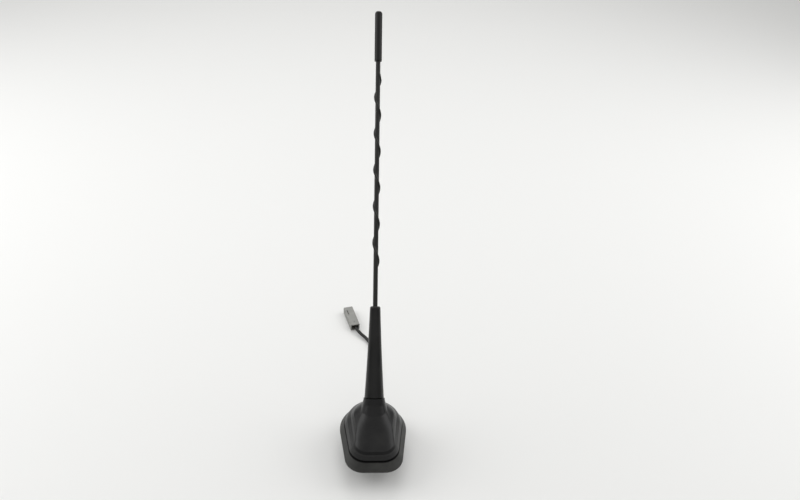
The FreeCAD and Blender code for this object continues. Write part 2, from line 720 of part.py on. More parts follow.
def make_plug_housing():
    """Moulded plug body: mouth at the far end, recess at the cable end, latch slot and peep hole on top."""
    half = PLUG_WIDTH / 2
    body = block((-half, 0, 0), (half, PLUG_LENGTH, PLUG_HEIGHT))
    long_edges = [edge for edge in body.Edges if abs(edge.tangentAt(edge.FirstParameter).y) > 0.9]
    body = body.makeFillet(PLUG_ROUND, long_edges)
    room = half - PLUG_WALL
    mouth = block((-room, PLUG_LENGTH - PLUG_MOUTH_DEPTH, PLUG_WALL),
                  (room, PLUG_LENGTH + PLUG_WALL, PLUG_HEIGHT - PLUG_WALL))
    recess = block((-room, -PLUG_WALL, PLUG_WALL), (room, PLUG_RECESS_DEPTH, PLUG_HEIGHT - PLUG_WALL))
    through = lying_rod(CONTACT_RADIUS + FIT, 0, PLUG_LENGTH)
    slot_end = PLUG_LENGTH - PLUG_MOUTH_DEPTH / 2
    slot_x = -PLUG_LATCH_SLOT_OFFSET
    slot = block((slot_x - PLUG_LATCH_SLOT_WIDTH / 2, slot_end - PLUG_LATCH_SLOT_LENGTH, PLUG_HEIGHT - PLUG_WALL),
                 (slot_x + PLUG_LATCH_SLOT_WIDTH / 2, slot_end, PLUG_HEIGHT + PLUG_WALL))
    peep = rod(PLUG_PEEP_RADIUS, PLUG_HEIGHT / 2, PLUG_HEIGHT + PLUG_WALL, 0, PLUG_RECESS_DEPTH - PLUG_WALL)
    return plug_local(body.cut(mouth).cut(recess).cut(through).cut(slot).cut(peep))


def make_plug_contact():
    """Round shielded contact: an open tube in the mouth, a solid waist, and its middle pin."""
    tube_start = PLUG_LENGTH - PLUG_MOUTH_DEPTH
    end = PLUG_LENGTH - 2 * PLUG_WALL
    contact = lying_rod(CONTACT_RADIUS, PLUG_RECESS_DEPTH, end)
    contact = contact.cut(lying_rod(CONTACT_RADIUS - CONTACT_WALL, tube_start, end))
    return plug_local(contact.fuse(lying_rod(CONTACT_PIN_RADIUS, tube_start, end - 2 * PLUG_WALL)).removeSplitter())


def make_plug_ferrule():
    """Crimp sleeve on the lead, against the contact."""
    ferrule = lying_rod(CABLE_RADIUS + CRIMP_WALL, PLUG_RECESS_DEPTH - CRIMP_LENGTH, PLUG_RECESS_DEPTH)
    return plug_local(ferrule.cut(lying_rod(CABLE_RADIUS + FIT, -PLUG_WALL, PLUG_RECESS_DEPTH)))


def make_plug_retainer():
    """Locking frame pushed into the cable end, round the crimp."""
    half = PLUG_WIDTH / 2 - PLUG_WALL - FIT
    low = PLUG_WALL + FIT
    high = PLUG_HEIGHT - PLUG_WALL - FIT
    front = PLUG_RECESS_DEPTH - RETAINER_LENGTH
    frame = block((-half, front, low), (half, PLUG_RECESS_DEPTH, high))
    return plug_local(frame.cut(lying_rod(CABLE_RADIUS + CRIMP_WALL + FIT, -PLUG_WALL, PLUG_LENGTH)))


def cable_route():
    """Points of the lead: down out of the gland, along the floor under the mast, straight into the plug."""
    lying = FLOOR_Z + CABLE_RADIUS
    start = Vector(0, GLAND_Y, GLAND_END_Z - FIT)
    into_plug = plug_placement().multVec(Vector(0, PLUG_RECESS_DEPTH - FIT, PLUG_HEIGHT / 2))
    before_plug = plug_placement().multVec(Vector(0, -LEAD_REACH, PLUG_HEIGHT / 2))
    touch = GLAND_Y + LEAD_TOUCH
    span = before_plug.y - touch
    return [
        start,
        start - UP * LEAD_FALL,
        Vector(0, GLAND_Y + LEAD_LANDING, lying + CABLE_RADIUS / 2),
        Vector(LEAD_BOW * 0.04, touch, lying),
        Vector(LEAD_BOW * 0.16, touch + span * 0.066, lying),
        Vector(LEAD_BOW * 0.29, touch + span * 0.19, lying),
        Vector(LEAD_BOW * 0.91, touch + span * 0.41, lying),
        Vector(LEAD_BOW, touch + span * 0.7, lying),
        Vector(LEAD_BOW * 0.27, touch + span * 0.877, lying),
        before_plug,
        into_plug,
    ]


def make_cable():
    """Free lead: straight runs joined by tangent arcs, swept with its round section."""
    points = cable_route()
    edges = []
    start = points[0]
    for i in range(1, len(points) - 1):
        back = points[i - 1] - points[i]
        ahead = points[i + 1] - points[i]
        run = 0.45 * min(back.Length, ahead.Length)
        turn = math.pi - back.getAngle(ahead)
        radius = run / math.tan(turn / 2)
        enter = points[i] + back.normalize() * run
        leave = points[i] + ahead.normalize() * run
        middle = (back + ahead).normalize()
        centre_reach = math.hypot(radius, run)
        crest = points[i] + middle * (centre_reach - radius)
        edges.append(Part.LineSegment(start, enter).toShape())
        edges.append(Part.Arc(enter, crest, leave).toShape())
        print("lead turn", i, "radius", round(radius, 1), "turn", round(math.degrees(turn), 1))
        start = leave
    edges.append(Part.LineSegment(start, points[-1]).toShape())
    path = Part.Wire(edges)
    first = (points[1] - points[0]).normalize()
    ring = Part.Wire(Part.makeCircle(CABLE_RADIUS, points[0], first))
    tube = path.makePipeShell([ring], True, True)
    print("lead length", round(path.Length, 1), "volume share",
          round(tube.Volume / (math.pi * CABLE_RADIUS ** 2 * path.Length), 4))
    return tube


os.makedirs("parts", exist_ok=True)
save(make_base_pad(), "base_pad")
save(make_base_plate(), "base_plate")
save(make_roof_stud(), "roof_stud")
save(make_retaining_clip(), "retaining_clip")
save(make_cable_gland(), "cable_gland")
save(make_cover_screws(), "cover_screws")
save(make_amplifier_board(), "amplifier_board")
save(make_board_screws(), "board_screws")
save(make_shield_can(), "shield_can")
save(make_board_components(), "board_components")
save(make_contact_blade(), "contact_blade")
save(make_cable_inner_end(), "cable_inner_end")
save(make_base_cover(), "base_cover")
save(make_mast_socket(), "mast_socket")
save(make_mast_seal(), "mast_seal")
save(make_mast_boot(), "mast_boot")
save(make_mast_ferrule(), "mast_ferrule")
save(make_mast_core(), "mast_core")
save(make_mast_sleeve(), "mast_sleeve")
save(make_tip_cap(), "tip_cap")
save(make_cable(), "cable")
save(make_plug_housing(), "plug_housing")
save(make_plug_contact(), "plug_contact")
save(make_plug_ferrule(), "plug_ferrule")
save(make_plug_retainer(), "plug_retainer")
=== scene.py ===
import math
import bpy
from mathutils import Matrix, Vector


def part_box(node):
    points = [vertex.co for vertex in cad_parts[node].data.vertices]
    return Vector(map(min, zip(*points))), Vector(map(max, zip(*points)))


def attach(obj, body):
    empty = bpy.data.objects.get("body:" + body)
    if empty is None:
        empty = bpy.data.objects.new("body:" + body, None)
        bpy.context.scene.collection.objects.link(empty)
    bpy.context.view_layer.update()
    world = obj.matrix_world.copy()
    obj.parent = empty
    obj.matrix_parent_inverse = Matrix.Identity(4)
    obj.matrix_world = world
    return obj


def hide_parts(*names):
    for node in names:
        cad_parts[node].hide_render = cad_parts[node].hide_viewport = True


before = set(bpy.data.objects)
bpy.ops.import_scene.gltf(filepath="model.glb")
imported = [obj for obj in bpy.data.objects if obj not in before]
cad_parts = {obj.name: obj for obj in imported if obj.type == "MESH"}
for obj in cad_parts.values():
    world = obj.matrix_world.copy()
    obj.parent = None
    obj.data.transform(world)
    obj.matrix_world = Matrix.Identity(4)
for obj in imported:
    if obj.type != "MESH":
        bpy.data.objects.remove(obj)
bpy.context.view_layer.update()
bpy.ops.object.select_all(action="DESELECT")


# Base plate
# A die-cast plate hidden in the pad, with an oblong boss that goes through the roof.
# It keeps the dull, slightly speckled skin of the casting die.

def new_group(name, inputs, outputs):
    """An empty shader group with named sockets, and its two end nodes."""
    tree = bpy.data.node_groups.new(name, "ShaderNodeTree")
    for label, kind in inputs:
        tree.interface.new_socket(label, in_out="INPUT", socket_type="NodeSocket" + kind)
    for label, kind in outputs:
        tree.interface.new_socket(label, in_out="OUTPUT", socket_type="NodeSocket" + kind)
    return tree, tree.nodes.new("NodeGroupInput"), tree.nodes.new("NodeGroupOutput")


def spread(tree, value, low, high, to_low, to_high):
    """Map a value's range onto another one, held at its ends."""
    node = tree.nodes.new("ShaderNodeMapRange")
    node.inputs["From Min"].default_value = low
    node.inputs["From Max"].default_value = high
    node.inputs["To Min"].default_value = to_low
    node.inputs["To Max"].default_value = to_high
    tree.links.new(value, node.inputs["Value"])
    return node.outputs["Result"]


def noise(tree, vector, scale, detail=4.0):
    """Noise at a scale that is a number or another node's output."""
    node = tree.nodes.new("ShaderNodeTexNoise")
    node.inputs["Detail"].default_value = detail
    tree.links.new(vector, node.inputs["Vector"])
    if isinstance(scale, float):
        node.inputs["Scale"].default_value = scale
    else:
        tree.links.new(scale, node.inputs["Scale"])
    return node.outputs["Fac"]


# Skin of a moulding or casting: a fine grain for the bump, and wide soft patches for gloss and colour.
skin_group, skin_in, skin_out = new_group(
    "moulded_skin",
    [("Vector", "Vector"), ("Grain Scale", "Float"), ("Patch Scale", "Float")],
    [("Grain", "Float"), ("Patches", "Float")])
grain = noise(skin_group, skin_in.outputs["Vector"], skin_in.outputs["Grain Scale"], 6.0)
patches = noise(skin_group, skin_in.outputs["Vector"], skin_in.outputs["Patch Scale"], 3.0)
skin_group.links.new(grain, skin_out.inputs["Grain"])
skin_group.links.new(spread(skin_group, patches, 0.3, 0.7, 0.0, 1.0), skin_out.inputs["Patches"])


class Finish:
    """A material under construction: its node tree, its shader and the coordinates that it reads."""

    def __init__(self, name, roughness, metallic=0.0, specular=0.5):
        self.material = bpy.data.materials.new(name)
        self.material.use_nodes = True
        self.tree = self.material.node_tree
        self.shader = self.tree.nodes["Principled BSDF"]
        self.shader.inputs["Roughness"].default_value = roughness
        self.shader.inputs["Metallic"].default_value = metallic
        self.shader.inputs["Specular IOR Level"].default_value = specular
        self.place = self.tree.nodes.new("ShaderNodeTexCoord")
        self.bumped = None

    def use(self, group, **values):
        """Place a shared effect, reading this material's object coordinates."""
        node = self.tree.nodes.new("ShaderNodeGroup")
        node.node_tree = group
        for label, value in values.items():
            node.inputs[label.replace("_", " ")].default_value = value
        self.tree.links.new(self.place.outputs["Object"], node.inputs["Vector"])
        if "Normal" in node.inputs:
            self.tree.links.new(self.place.outputs["Normal"], node.inputs["Normal"])
        return node

    def mix(self, mask, first, second):
        """A colour that runs from one to another with a mask. Each is a colour or another node's output."""
        node = self.tree.nodes.new("ShaderNodeMix")
        node.data_type = "RGBA"
        self.tree.links.new(mask, node.inputs["Factor"])
        for label, colour in (("A", first), ("B", second)):
            if isinstance(colour, tuple):
                node.inputs[label].default_value = (*colour, 1.0)
            else:
                self.tree.links.new(colour, node.inputs[label])
        return node.outputs["Result"]

    def colour(self, socket):
        """Colour of the surface, from another node's output."""
        self.tree.links.new(socket, self.shader.inputs["Base Color"])

    def gloss(self, mask, low, high):
        """Roughness that runs between two values with a mask."""
        roughness = spread(self.tree, mask, 0.0, 1.0, low, high)
        self.tree.links.new(roughness, self.shader.inputs["Roughness"])

    def bump(self, height, depth):
        """Relief of a depth in metres, on top of any relief added before."""
        node = self.tree.nodes.new("ShaderNodeBump")
        node.inputs["Distance"].default_value = depth
        self.tree.links.new(height, node.inputs["Height"])
        if self.bumped:
            self.tree.links.new(self.bumped, node.inputs["Normal"])
        self.bumped = node.outputs["Normal"]
        self.tree.links.new(self.bumped, self.shader.inputs["Normal"])

    def height(self, low, high):
        """A mask that rises from none to full between two heights above the roof."""
        split = self.tree.nodes.new("ShaderNodeSeparateXYZ")
        self.tree.links.new(self.place.outputs["Object"], split.inputs["Vector"])
        return spread(self.tree, split.outputs["Z"], low, high, 0.0, 1.0)

    def shine(self, mask, low, high):
        """Strength of the reflection, running between two values with a mask."""
        specular = spread(self.tree, mask, 0.0, 1.0, low, high)
        self.tree.links.new(specular, self.shader.inputs["Specular IOR Level"])

    def coat(self, *names):
        """Give the finish to solids of the frame."""
        for name in names:
            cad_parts[name].material_slots[0].material = self.material


casting = Finish("die_casting", 0.55, metallic=1.0)
skin = casting.use(skin_group, Grain_Scale=1400.0, Patch_Scale=120.0)
casting.colour(casting.mix(skin.outputs["Patches"], (0.40, 0.40, 0.41), (0.56, 0.56, 0.57)))
casting.gloss(skin.outputs["Patches"], 0.45, 0.65)
casting.bump(skin.outputs["Grain"], 0.0002)
casting.coat("base_plate")


# Roof stud
# A zinc-plated steel stud pressed into the boss: a rolled thread over its free length, and a
# chamfered end that leads the nut on. The thread is turned here as a ridge round a thinner core.

STUD_RADIUS = 0.004
STUD_PITCH = 0.00125
STUD_ROOT_SHARE = 0.85
STUD_TIP_SHARE = 0.8
STUD_HEAD_HEIGHT = 0.0025
RIDGE_SINK = 0.0001
RIDGE_START = 0.0006
RIDGE_RISE_SHARE = 0.42
RIDGE_CREST_SHARE = 0.52
RIDGE_END_SHARE = 0.94
TURN_STEPS = 40
SHARP_EDGE = math.radians(30)
stud_low, stud_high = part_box("roof_stud")
boss_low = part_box("base_plate")[0].z
stud_root = STUD_RADIUS * STUD_ROOT_SHARE
head_radius = (stud_high.x - stud_low.x) / 2
stud_profile = [
    (0.0, stud_low.z),
    (stud_root * STUD_TIP_SHARE, stud_low.z),
    (stud_root, stud_low.z + STUD_RADIUS - stud_root),
    (stud_root, boss_low),
    (STUD_RADIUS, boss_low),
    (STUD_RADIUS, stud_high.z - STUD_HEAD_HEIGHT),
    (head_radius, stud_high.z - STUD_HEAD_HEIGHT),
    (head_radius, stud_high.z),
    (0.0, stud_high.z),
]


def profile_object(name, corners):
    """A line of edges through (radius, height) corners, drawn out from a small plane merged to one vertex."""
    plane_size = 0.01
    bpy.ops.object.select_all(action="DESELECT")
    bpy.ops.mesh.primitive_plane_add(size=plane_size)
    piece = bpy.context.object
    piece.name = name
    bpy.ops.object.mode_set(mode="EDIT")
    bpy.ops.mesh.merge(type="CENTER")
    bpy.ops.transform.translate(value=(corners[0][0], 0.0, corners[0][1]))
    for (radius, height), (next_radius, next_height) in zip(corners, corners[1:]):
        step = (next_radius - radius, 0.0, next_height - height)
        bpy.ops.mesh.extrude_region_move(TRANSFORM_OT_translate={"value": step})
    bpy.ops.object.mode_set(mode="OBJECT")
    return piece


def turn_up(piece, steps, rise=0.0, turns=1):
    """Turn a profile about Z into a closed surface of revolution, or into a helix when it rises."""
    seam_merge = 0.00001
    point_merge = 0.000001
    screw = piece.modifiers.new("turn", "SCREW")
    screw.steps = steps
    screw.render_steps = steps
    screw.screw_offset = rise
    screw.iterations = turns
    screw.use_merge_vertices = rise == 0.0
    screw.merge_threshold = seam_merge
    bpy.context.view_layer.objects.active = piece
    bpy.ops.object.modifier_apply(modifier="turn")
    bpy.ops.object.mode_set(mode="EDIT")
    bpy.ops.mesh.select_all(action="SELECT")
    bpy.ops.mesh.remove_doubles(threshold=point_merge)
    bpy.ops.mesh.fill_holes(sides=0)
    bpy.ops.mesh.normals_make_consistent(inside=False)
    bpy.ops.object.mode_set(mode="OBJECT")


stud = profile_object("stud_turned", stud_profile)
turn_up(stud, TURN_STEPS)
thread_turns = int((boss_low - stud_low.z) / STUD_PITCH) - 1
ridge_foot = stud_low.z + RIDGE_START
ridge_radius = stud_root - RIDGE_SINK
ridge = profile_object("stud_thread", [
    (ridge_radius, ridge_foot),
    (STUD_RADIUS, ridge_foot + STUD_PITCH * RIDGE_RISE_SHARE),
    (STUD_RADIUS, ridge_foot + STUD_PITCH * RIDGE_CREST_SHARE),
    (ridge_radius, ridge_foot + STUD_PITCH * RIDGE_END_SHARE),
    (ridge_radius, ridge_foot),
])
turn_up(ridge, TURN_STEPS, STUD_PITCH, thread_turns)
bpy.ops.object.select_all(action="DESELECT")
ridge.select_set(True)
stud.select_set(True)
bpy.context.view_layer.objects.active = stud
bpy.ops.object.join()
bpy.ops.object.shade_smooth_by_angle(angle=SHARP_EDGE)

# Plated or drawn metal: faint lines round the piece along Z, and patches where the plating is duller.
metal_group, metal_in, metal_out = new_group(
    "drawn_metal",
    [("Vector", "Vector"), ("Line Scale", "Float"), ("Patch Scale", "Float")],
    [("Lines", "Float"), ("Patches", "Float")])
lines = metal_group.nodes.new("ShaderNodeTexWave")
lines.bands_direction = "Z"
lines.inputs["Distortion"].default_value = 1.5
lines.inputs["Detail"].default_value = 3.0
metal_group.links.new(metal_in.outputs["Vector"], lines.inputs["Vector"])
metal_group.links.new(metal_in.outputs["Line Scale"], lines.inputs["Scale"])
dull = noise(metal_group, metal_in.outputs["Vector"], metal_in.outputs["Patch Scale"])
metal_group.links.new(lines.outputs["Fac"], metal_out.inputs["Lines"])
metal_group.links.new(spread(metal_group, dull, 0.35, 0.65, 0.0, 1.0), metal_out.inputs["Patches"])

plating = Finish("zinc_plating", 0.35, metallic=1.0)
drawn = plating.use(metal_group, Line_Scale=900.0, Patch_Scale=260.0)
plating.colour(plating.mix(drawn.outputs["Patches"], (0.50, 0.47, 0.40), (0.66, 0.64, 0.58)))
plating.gloss(drawn.outputs["Patches"], 0.28, 0.42)
plating.bump(drawn.outputs["Lines"], 0.00001)
stud.data.materials.clear()
stud.data.materials.append(plating.material)
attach(stud, "base")
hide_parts("roof_stud")


# Retaining clip
# A strip of spring steel under the boss, bent up into two claws that snap into the roof's hole.
# It is blanked and left bare, so it has rolling lines along the strip and a bluish tinge.

spring = Finish("spring_steel", 0.35, metallic=1.0)
drawn = spring.use(metal_group, Line_Scale=1500.0, Patch_Scale=180.0)
spring.colour(spring.mix(drawn.outputs["Patches"], (0.30, 0.31, 0.33), (0.48, 0.48, 0.49)))
spring.gloss(drawn.outputs["Patches"], 0.25, 0.45)
spring.bump(drawn.outputs["Lines"], 0.000008)
spring.coat("retaining_clip")


# Rubber pad
# A moulded rubber pad that seals the base on the roof, with a flared skirt and a thin lip.
# The rubber is dull, greyer than the cover, and holds a little dust on its slopes.

dust_group, dust_in, dust_out = new_group(
    "settled_dust",
    [("Vector", "Vector"), ("Normal", "Vector"), ("Speck Scale", "Float"), ("Amount", "Float")],
    [("Film", "Float"), ("Specks", "Float")])
facing = dust_group.nodes.new("ShaderNodeSeparateXYZ")
dust_group.links.new(dust_in.outputs["Normal"], facing.inputs["Vector"])
upward = spread(dust_group, facing.outputs["Z"], 0.1, 0.9, 0.0, 1.0)
clouds = spread(dust_group, noise(dust_group, dust_in.outputs["Vector"], 60.0), 0.4, 0.7, 0.2, 1.0)
cells = dust_group.nodes.new("ShaderNodeTexVoronoi")
dust_group.links.new(dust_in.outputs["Vector"], cells.inputs["Vector"])
dust_group.links.new(dust_in.outputs["Speck Scale"], cells.inputs["Scale"])
crumbs = spread(dust_group, cells.outputs["Distance"], 0.05, 0.09, 1.0, 0.0)


def product(tree, first, second):
    """Two values multiplied."""
    node = tree.nodes.new("ShaderNodeMath")
    node.operation = "MULTIPLY"
    tree.links.new(first, node.inputs[0])
    tree.links.new(second, node.inputs[1])
    return node.outputs["Value"]


film = product(dust_group, product(dust_group, upward, clouds), dust_in.outputs["Amount"])
dust_group.links.new(film, dust_out.inputs["Film"])
dust_group.links.new(product(dust_group, crumbs, film), dust_out.inputs["Specks"])

# Painted shade: a near-black colour for the seam between pad and cover, standing in for the shadow in the
# narrow groove there.
PAINTED_SEAM_SHADE = (0.003, 0.003, 0.003)
PAD_SEAM_SHADE_START = 0.0070
PAD_SEAM_SHADE_FULL = 0.0076
pad_rubber = Finish("pad_rubber", 0.6, specular=0.45)
skin = pad_rubber.use(skin_group, Grain_Scale=2600.0, Patch_Scale=90.0)
dust = pad_rubber.use(dust_group, Speck_Scale=700.0, Amount=0.25)
bare = pad_rubber.mix(skin.outputs["Patches"], (0.020, 0.020, 0.019), (0.030, 0.030, 0.028))
dusty = pad_rubber.mix(dust.outputs["Film"], bare, (0.16, 0.16, 0.15))
# Painted shade: the pad's top edge, from 7.0 to 7.6 mm up, runs to the near-black seam colour and its
# reflection is turned down.
painted_seam_shade = pad_rubber.height(PAD_SEAM_SHADE_START, PAD_SEAM_SHADE_FULL)
pad_rubber.colour(pad_rubber.mix(painted_seam_shade, dusty, PAINTED_SEAM_SHADE))
pad_rubber.shine(painted_seam_shade, 0.35, 0.05)
pad_rubber.gloss(skin.outputs["Patches"], 0.46, 0.58)
pad_rubber.bump(skin.outputs["Grain"], 0.00006)
pad_rubber.coat("base_pad")


# Cable gland and the lead's inner end
# A soft rubber grommet held in the boss by its two flanges. The lead's jacket runs through it,
# and above it the braid and the bare conductor go up to the board.

gland_rubber = Finish("gland_rubber", 0.6)
skin = gland_rubber.use(skin_group, Grain_Scale=3000.0, Patch_Scale=300.0)
rubber = gland_rubber.mix(skin.outputs["Patches"], (0.018, 0.018, 0.018), (0.034, 0.034, 0.033))
gland_rubber.colour(rubber)
gland_rubber.gloss(skin.outputs["Patches"], 0.5, 0.7)
gland_rubber.bump(skin.outputs["Grain"], 0.00008)
gland_rubber.coat("cable_gland", "mast_seal")

jacket = Finish("lead_jacket", 0.45, specular=0.35)
skin = jacket.use(skin_group, Grain_Scale=2200.0, Patch_Scale=150.0)
dust = jacket.use(dust_group, Speck_Scale=900.0, Amount=0.06)
bare = jacket.mix(skin.outputs["Patches"], (0.006, 0.006, 0.0055), (0.010, 0.010, 0.009))
jacket.colour(jacket.mix(dust.outputs["Film"], bare, (0.12, 0.12, 0.11)))
jacket.gloss(skin.outputs["Patches"], 0.38, 0.52)
jacket.bump(skin.outputs["Grain"], 0.00005)
jacket.coat("cable_inner_end")


# Amplifier
# A green circuit board on the plate's posts, with a tin-plated can over the amplifier, black
# filter parts, plated screws and a brass spring contact that touches the mast's socket.

laminate = Finish("solder_mask", 0.35)
skin = laminate.use(skin_group, Grain_Scale=1800.0, Patch_Scale=400.0)
laminate.colour(laminate.mix(skin.outputs["Patches"], (0.012, 0.10, 0.035), (0.02, 0.17, 0.06)))
laminate.gloss(skin.outputs["Patches"], 0.25, 0.4)
laminate.bump(skin.outputs["Grain"], 0.00003)
laminate.coat("amplifier_board")

tinplate = Finish("tinplate", 0.3, metallic=1.0)
drawn = tinplate.use(metal_group, Line_Scale=700.0, Patch_Scale=200.0)
tinplate.colour(tinplate.mix(drawn.outputs["Patches"], (0.52, 0.52, 0.50), (0.70, 0.70, 0.68)))
tinplate.gloss(drawn.outputs["Patches"], 0.22, 0.38)
tinplate.bump(drawn.outputs["Lines"], 0.000006)
tinplate.coat("shield_can")

epoxy = Finish("black_epoxy", 0.5)
skin = epoxy.use(skin_group, Grain_Scale=5000.0, Patch_Scale=500.0)
epoxy.colour(epoxy.mix(skin.outputs["Patches"], (0.012, 0.012, 0.012), (0.03, 0.03, 0.03)))
epoxy.gloss(skin.outputs["Patches"], 0.4, 0.6)
epoxy.bump(skin.outputs["Grain"], 0.00004)
epoxy.coat("board_components")

brass = Finish("bright_brass", 0.28, metallic=1.0)
drawn = brass.use(metal_group, Line_Scale=1100.0, Patch_Scale=320.0)
brass.colour(brass.mix(drawn.outputs["Patches"], (0.52, 0.36, 0.14), (0.72, 0.54, 0.26)))
brass.gloss(drawn.outputs["Patches"], 0.2, 0.36)
brass.bump(drawn.outputs["Lines"], 0.000008)
brass.coat("contact_blade", "mast_socket")
plating.coat("board_screws", "cover_screws", "roof_stud")


# Cover
# The moulded cover: one shell of black plastic from the seam up to the round neck of the mast.
# The mould gives it a fine even grain, and handling has left it smoother in patches, with some dust.

# Painted shade: the cover's lowest edge at the seam is painted near black with little reflection, standing in
# for the shadow in the groove between cover and pad. It is full below 9.2 mm and gone above 9.8 mm.
COVER_SEAM_SHADE_FULL = 0.0092
COVER_SEAM_SHADE_END = 0.0098
cover_plastic = Finish("cover_plastic", 0.42, specular=0.35)
skin = cover_plastic.use(skin_group, Grain_Scale=3200.0, Patch_Scale=55.0)
dust = cover_plastic.use(dust_group, Speck_Scale=420.0, Amount=0.07)
bare = cover_plastic.mix(skin.outputs["Patches"], (0.006, 0.006, 0.0065), (0.009, 0.009, 0.009))
dusty = cover_plastic.mix(dust.outputs["Film"], bare, (0.10, 0.10, 0.095))
specked = cover_plastic.mix(dust.outputs["Specks"], dusty, (0.5, 0.5, 0.48))
clear_of_painted_seam_shade = cover_plastic.height(COVER_SEAM_SHADE_FULL, COVER_SEAM_SHADE_END)
cover_plastic.colour(cover_plastic.mix(clear_of_painted_seam_shade, PAINTED_SEAM_SHADE, specked))
cover_plastic.shine(clear_of_painted_seam_shade, 0.05, 0.24)
cover_plastic.gloss(skin.outputs["Patches"], 0.28, 0.38)
cover_plastic.bump(skin.outputs["Grain"], 0.00005)
cover_plastic.coat("base_cover")


# Mast ferrule and rod
# A turned, nickel-plated ferrule whose threaded end screws into the base, crimped round a pale
# glass-fibre rod. Both lie along the leaning mast, so the ferrule's thread lines are turned to follow it.

MAST_LEAN = math.radians(38.0)
THREAD_PITCH = 0.0008
WAVE_LENGTH = math.pi / 10  # of the wave texture at scale 1
nickel = Finish("nickel_plating", 0.3, metallic=1.0)
along_mast = nickel.tree.nodes.new("ShaderNodeMapping")
along_mast.vector_type = "POINT"
along_mast.inputs["Rotation"].default_value = (MAST_LEAN, 0.0, 0.0)
nickel.tree.links.new(nickel.place.outputs["Object"], along_mast.inputs["Vector"])
rolled = nickel.tree.nodes.new("ShaderNodeTexWave")
rolled.bands_direction = "Z"
rolled.inputs["Scale"].default_value = WAVE_LENGTH / THREAD_PITCH
nickel.tree.links.new(along_mast.outputs["Vector"], rolled.inputs["Vector"])
skin = nickel.use(skin_group, Grain_Scale=1500.0, Patch_Scale=260.0)
nickel.colour(nickel.mix(skin.outputs["Patches"], (0.48, 0.46, 0.42), (0.66, 0.64, 0.60)))
nickel.gloss(skin.outputs["Patches"], 0.22, 0.38)
nickel.bump(rolled.outputs["Fac"], 0.0003)
nickel.coat("mast_ferrule")

fibre = Finish("glass_fibre", 0.5)
skin = fibre.use(skin_group, Grain_Scale=900.0, Patch_Scale=220.0)
fibre.colour(fibre.mix(skin.outputs["Patches"], (0.50, 0.46, 0.32), (0.68, 0.64, 0.48)))
fibre.gloss(skin.outputs["Patches"], 0.4, 0.6)
fibre.bump(skin.outputs["Grain"], 0.00004)
fibre.coat("mast_core")


# Mast boot
# A tapered rubber boot moulded over the ferrule, which takes the bending of the mast at its foot.
# It is smooth and a little shiny from handling.

boot_rubber = Finish("boot_rubber", 0.42, specular=0.3)
skin = boot_rubber.use(skin_group, Grain_Scale=2400.0, Patch_Scale=70.0)
dust = boot_rubber.use(dust_group, Speck_Scale=600.0, Amount=0.06)
bare = boot_rubber.mix(skin.outputs["Patches"], (0.006, 0.006, 0.006), (0.010, 0.010, 0.0095))
boot_rubber.colour(boot_rubber.mix(dust.outputs["Film"], bare, (0.10, 0.10, 0.095)))
boot_rubber.gloss(skin.outputs["Patches"], 0.28, 0.38)
boot_rubber.bump(skin.outputs["Grain"], 0.00004)
boot_rubber.coat("mast_boot")


# Mast sleeve and tip
# The rod's black sleeve is extruded and twisted, so that its bead runs round it as a spiral and
# breaks up the wind. The tip is moulded over its end, in the same satin black.

sleeve_plastic = Finish("sleeve_plastic", 0.45, specular=0.35)
skin = sleeve_plastic.use(skin_group, Grain_Scale=2000.0, Patch_Scale=60.0)
dust = sleeve_plastic.use(dust_group, Speck_Scale=800.0, Amount=0.07)
bare = sleeve_plastic.mix(skin.outputs["Patches"], (0.010, 0.010, 0.009), (0.015, 0.015, 0.0135))
sleeve_plastic.colour(sleeve_plastic.mix(dust.outputs["Film"], bare, (0.12, 0.12, 0.11)))
sleeve_plastic.gloss(skin.outputs["Patches"], 0.4, 0.54)
sleeve_plastic.bump(skin.outputs["Grain"], 0.00004)
sleeve_plastic.coat("mast_sleeve")

tip_plastic = Finish("tip_plastic", 0.45, specular=0.3)
skin = tip_plastic.use(skin_group, Grain_Scale=2800.0, Patch_Scale=90.0)
bare = tip_plastic.mix(skin.outputs["Patches"], (0.006, 0.0055, 0.0055), (0.010, 0.0095, 0.009))
tip_plastic.colour(bare)
tip_plastic.gloss(skin.outputs["Patches"], 0.4, 0.55)
tip_plastic.bump(skin.outputs["Grain"], 0.00005)
tip_plastic.coat("tip_cap")


# Lead
# A thin coaxial lead: a black jacket that comes down out of the gland, lies along the floor in one
# easy bow and ends in the plug. The photograph shows it from the mast to the plug.

LEAD_DIAMETER = 0.0036
LEAD_BOW = 0.0055
LEAD_REACH = 0.006
LEAD_FALL = 0.0028
LEAD_LANDING = 0.0032
LEAD_TOUCH = 0.009
LEAD_FIT = 0.00005
GLAND_Y = 0.020
GLAND_END = -0.00975
LYING = -0.0162
PLUG_TURN = math.radians(15.0)
PLUG_ENTRY = Vector((-0.016, 0.1719, -0.0142))
plug_axis = Vector((-math.sin(PLUG_TURN), math.cos(PLUG_TURN), 0.0))
before_plug = PLUG_ENTRY - plug_axis * LEAD_REACH
touch = GLAND_Y + LEAD_TOUCH
span = before_plug.y - touch
lead_points = [
    (0.0, GLAND_Y, GLAND_END),
    (0.0, GLAND_Y, GLAND_END - LEAD_FALL),
    (0.0, GLAND_Y + LEAD_LANDING, LYING + LEAD_DIAMETER / 4),
    (LEAD_BOW * 0.04, touch, LYING),
    (LEAD_BOW * 0.16, touch + span * 0.066, LYING),
    (LEAD_BOW * 0.29, touch + span * 0.19, LYING),
    (LEAD_BOW * 0.91, touch + span * 0.41, LYING),
    (LEAD_BOW, touch + span * 0.7, LYING),
    (LEAD_BOW * 0.27, touch + span * 0.877, LYING),
    tuple(before_plug),
    tuple(PLUG_ENTRY + plug_axis * (LEAD_REACH - LEAD_FIT)),
]
lead_line = bpy.data.curves.new("lead", "CURVE")
lead_line.dimensions = "3D"
lead_line.bevel_depth = LEAD_DIAMETER / 2
lead_line.bevel_resolution = 5
lead_line.resolution_u = 16
